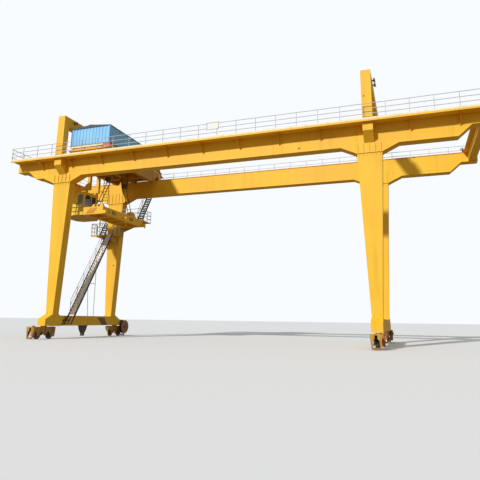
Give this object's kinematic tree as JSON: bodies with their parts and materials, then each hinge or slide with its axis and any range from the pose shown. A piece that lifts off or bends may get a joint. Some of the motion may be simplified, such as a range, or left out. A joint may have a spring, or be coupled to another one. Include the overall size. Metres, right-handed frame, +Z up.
{
  "type": "rail mounted container gantry crane",
  "caption": "Yellow container gantry crane on rails: box girders on tapered legs, saddle frames, walkways, a trolley with a blue machine house, a hanging cab and a spreader on ropes.",
  "frame": {"origin": "middle of the crane's box at the height of the wheels' lowest points", "axes": "+X along the girders to the long overhang, +Y along the ground rails away from the cab's near side, +Z up"},
  "size_m": [34.65, 11.502, 17.05],
  "materials": {
    "crane_yellow": "weathered gloss enamel",
    "cab_yellow": "gloss enamel",
    "platform_yellow": "weathered enamel",
    "bogie_yellow": "dirty enamel",
    "reel_yellow": "weathered enamel",
    "rail_grey": "galvanised",
    "rail_steel": "worn bright on top, rusty below",
    "wheel_steel": "dark, polished tread",
    "dark_iron": "dark, greasy",
    "stop_red": "dull red oxide",
    "drive_brown": "orange-brown, oily",
    "house_blue": "coated profiled sheet",
    "roof_dark": "dark coated sheet",
    "stair_dark": "dark enamel",
    "tread_pale": "worn beige paint",
    "cab_window": "tinted",
    "rope_steel": "greased wire rope",
    "board_white": "plain sheet"
  },
  "bodies": {
    "portal": {"girder_near": "crane_yellow", "girder_far": "crane_yellow", "trolley_rails": "rail_steel", "rail_stops": "stop_red", "end_ties": "crane_yellow", "walkway_near": "crane_yellow", "walkway_far": "crane_yellow", "end_walkways": "crane_yellow", "railing_near": "rail_grey", "railing_far": "rail_grey", "end_railings": "rail_grey", "board": "board_white", "leg_near_left": "crane_yellow", "leg_far_left": "crane_yellow", "leg_near_right": "crane_yellow", "leg_far_right": "crane_yellow", "saddle_left": "crane_yellow", "saddle_right": "crane_yellow", "sill_left": "crane_yellow", "sill_right": "crane_yellow", "rail_clamps": "dark_iron", "stair": "stair_dark", "stair_treads": "tread_pale", "stair_rails": "rail_grey", "landings": "platform_yellow", "landing_railings": "rail_grey", "upper_stairs": "stair_dark", "upper_treads": "stair_dark", "cable_reel": "reel_yellow"},
    "bogie_near_left": {"bogie_near_left": "bogie_yellow", "drive_near_left": "drive_brown"},
    "driven_wheel_near_left": {"driven_wheel_near_left": "wheel_steel"},
    "idle_wheel_near_left": {"idle_wheel_near_left": "wheel_steel"},
    "bogie_far_left": {"bogie_far_left": "bogie_yellow", "drive_far_left": "drive_brown"},
    "driven_wheel_far_left": {"driven_wheel_far_left": "wheel_steel"},
    "idle_wheel_far_left": {"idle_wheel_far_left": "wheel_steel"},
    "bogie_near_right": {"bogie_near_right": "bogie_yellow", "drive_near_right": "drive_brown"},
    "driven_wheel_near_right": {"driven_wheel_near_right": "wheel_steel"},
    "idle_wheel_near_right": {"idle_wheel_near_right": "wheel_steel"},
    "bogie_far_right": {"bogie_far_right": "bogie_yellow", "drive_far_right": "drive_brown"},
    "driven_wheel_far_right": {"driven_wheel_far_right": "wheel_steel"},
    "idle_wheel_far_right": {"idle_wheel_far_right": "wheel_steel"},
    "trolley": {"trolley_frame": "crane_yellow", "hoist_beams": "crane_yellow", "trolley_wheels": "wheel_steel", "house_walls": "house_blue", "house_roof": "roof_dark", "cab_hanger": "crane_yellow", "cab_shell": "cab_yellow", "cab_glass": "cab_window", "cab_roof": "cab_yellow", "gallery": "platform_yellow", "gallery_railing": "rail_grey", "trolley_ladder": "crane_yellow", "hoist_ropes": "rope_steel"},
    "spreader": {"spreader": "crane_yellow", "twistlocks": "dark_iron"}
  },
  "joints": [
    {"name": "bogie_rock_near_left", "type": "hinge", "parent": "portal", "child": "bogie_near_left", "pos_m": [-12.925, -4.455, 0.62], "axis": [1, 0, 0], "range_deg": [-1.5, 1.5]},
    {"name": "driven_wheel_turn_near_left", "type": "hinge", "parent": "bogie_near_left", "child": "driven_wheel_near_left", "pos_m": [-12.925, -5.075, 0.3], "axis": [1, 0, 0], "continuous": true},
    {"name": "idle_wheel_turn_near_left", "type": "hinge", "parent": "bogie_near_left", "child": "idle_wheel_near_left", "pos_m": [-12.925, -3.835, 0.3], "axis": [1, 0, 0], "continuous": true},
    {"name": "bogie_rock_far_left", "type": "hinge", "parent": "portal", "child": "bogie_far_left", "pos_m": [-12.925, 4.455, 0.62], "axis": [1, 0, 0], "range_deg": [-1.5, 1.5]},
    {"name": "driven_wheel_turn_far_left", "type": "hinge", "parent": "bogie_far_left", "child": "driven_wheel_far_left", "pos_m": [-12.925, 5.075, 0.3], "axis": [1, 0, 0], "continuous": true},
    {"name": "idle_wheel_turn_far_left", "type": "hinge", "parent": "bogie_far_left", "child": "idle_wheel_far_left", "pos_m": [-12.925, 3.835, 0.3], "axis": [1, 0, 0], "continuous": true},
    {"name": "bogie_rock_near_right", "type": "hinge", "parent": "portal", "child": "bogie_near_right", "pos_m": [10.325, -4.455, 0.62], "axis": [1, 0, 0], "range_deg": [-1.5, 1.5]},
    {"name": "driven_wheel_turn_near_right", "type": "hinge", "parent": "bogie_near_right", "child": "driven_wheel_near_right", "pos_m": [10.325, -5.075, 0.3], "axis": [1, 0, 0], "continuous": true},
    {"name": "idle_wheel_turn_near_right", "type": "hinge", "parent": "bogie_near_right", "child": "idle_wheel_near_right", "pos_m": [10.325, -3.835, 0.3], "axis": [1, 0, 0], "continuous": true},
    {"name": "bogie_rock_far_right", "type": "hinge", "parent": "portal", "child": "bogie_far_right", "pos_m": [10.325, 4.455, 0.62], "axis": [1, 0, 0], "range_deg": [-1.5, 1.5]},
    {"name": "driven_wheel_turn_far_right", "type": "hinge", "parent": "bogie_far_right", "child": "driven_wheel_far_right", "pos_m": [10.325, 5.075, 0.3], "axis": [1, 0, 0], "continuous": true},
    {"name": "idle_wheel_turn_far_right", "type": "hinge", "parent": "bogie_far_right", "child": "idle_wheel_far_right", "pos_m": [10.325, 3.835, 0.3], "axis": [1, 0, 0], "continuous": true},
    {"name": "trolley_travel", "type": "slide", "parent": "portal", "child": "trolley", "axis": [1, 0, 0], "range_m": [0, 24.9]},
    {"name": "hoist", "type": "slide", "parent": "trolley", "child": "spreader", "axis": [0, 0, 1], "range_m": [-6.75, 1.2], "deforming": ["hoist_ropes"]}
  ]
}
